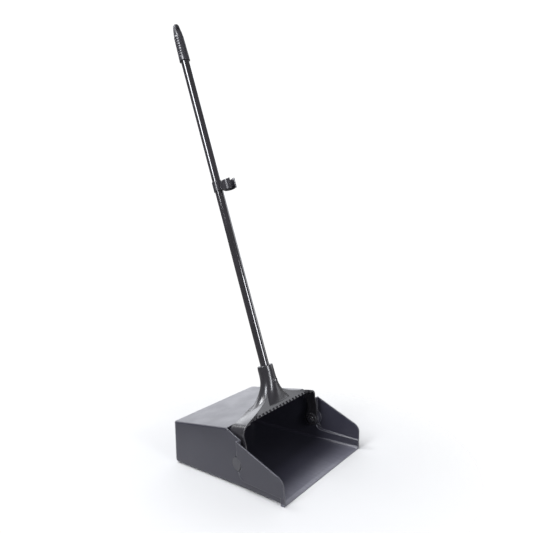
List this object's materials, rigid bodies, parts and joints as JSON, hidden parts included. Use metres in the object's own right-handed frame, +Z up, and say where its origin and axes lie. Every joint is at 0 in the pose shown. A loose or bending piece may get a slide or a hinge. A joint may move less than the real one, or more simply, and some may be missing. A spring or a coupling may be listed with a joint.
{
  "type": "upright lobby dust pan",
  "caption": "Hooded upright dust pan with flared wings, a swinging comb-edged yoke, a long leaning tube handle, ribbed hanging grip and a broom clip.",
  "frame": {"origin": "centre of the flat underside of the pan, where it rests on the floor", "axes": "+Z up, -Y out of the mouth, X along the width, handle leaning toward +Y"},
  "size_m": [0.3072, 0.3977, 0.9807],
  "materials": {
    "pan_plastic": "satin moulded charcoal polypropylene",
    "yoke_plastic": "semi-gloss moulded black",
    "pin_plastic": "satin moulded charcoal",
    "zinc_steel": "zinc plated, dull",
    "tube_coat": "gloss black vinyl-coated steel",
    "plug_plastic": "moulded grey",
    "grip_plastic": "satin ribbed black",
    "clip_plastic": "semi-gloss moulded black"
  },
  "bodies": {
    "pan": {"pan_shell": "pan_plastic", "hinge_pin_right": "pin_plastic", "hinge_pin_left": "pin_plastic", "pin_retainer_right": "zinc_steel", "pin_retainer_left": "zinc_steel"},
    "handle": {"yoke_hood": "yoke_plastic", "socket_screw": "zinc_steel", "handle_tube": "tube_coat", "tube_plug": "plug_plastic", "hand_grip": "grip_plastic"},
    "clip": {"broom_clip": "clip_plastic"}
  },
  "joints": [
    {"name": "handle_swing", "type": "hinge", "parent": "pan", "child": "handle", "pos_m": [0, -0.034, 0.0505], "axis": [1, 0, 0], "range_deg": [0, 95]},
    {"name": "clip_slide", "type": "slide", "parent": "handle", "child": "clip", "axis": [0, 0.2974, 0.9548], "range_m": [-0.38, 0.285]}
  ]
}
